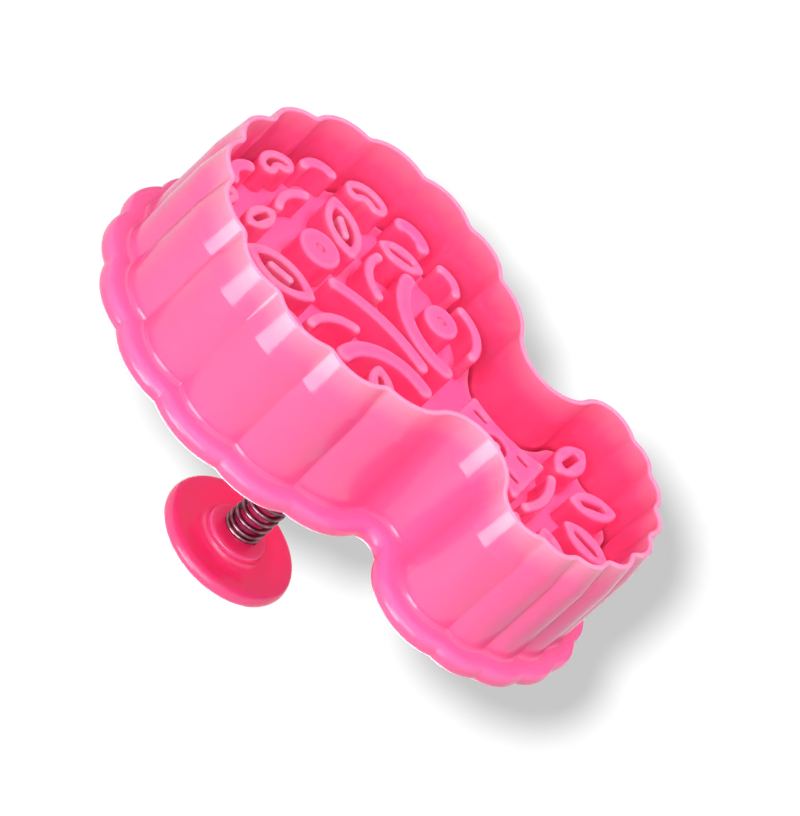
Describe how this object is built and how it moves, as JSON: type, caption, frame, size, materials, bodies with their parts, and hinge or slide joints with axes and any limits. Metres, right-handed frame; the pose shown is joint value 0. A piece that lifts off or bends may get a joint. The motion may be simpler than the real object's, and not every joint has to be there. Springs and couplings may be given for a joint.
{
  "type": "plunger cutter",
  "caption": "Sprung pastry plunger cutter of pink plastic: a scalloped tree-shaped cutting wall with a flange, a sliding stamp plate inside and a round push knob on a coil spring.",
  "frame": {"origin": "the plunger stem's axis in the plane of the cutting edge, which is the middle of the bottom of the object's box", "axes": "+Z along the stem towards the push knob, +X towards the tree's crown, which is the large end, and +Y across"},
  "size_m": [0.0884, 0.0598, 0.0554],
  "materials": {
    "shell_plastic": "smooth moulded, glossy",
    "stamp_plastic": "smooth moulded, glossy",
    "knob_plastic": "smooth moulded, glossy",
    "spring_steel": "bright drawn wire"
  },
  "bodies": {
    "cutter": {"cutter_shell": "shell_plastic", "return_spring": "spring_steel"},
    "plunger": {"stamp_plate": "stamp_plastic", "push_knob": "knob_plastic"}
  },
  "joints": [
    {"name": "plunger_slide", "type": "slide", "parent": "cutter", "child": "plunger", "axis": [0, 0, -1], "range_m": [0, 0.01], "stiffness_N_per_m": 1700, "springref_m": -0.005, "deforming": ["return_spring"]}
  ]
}
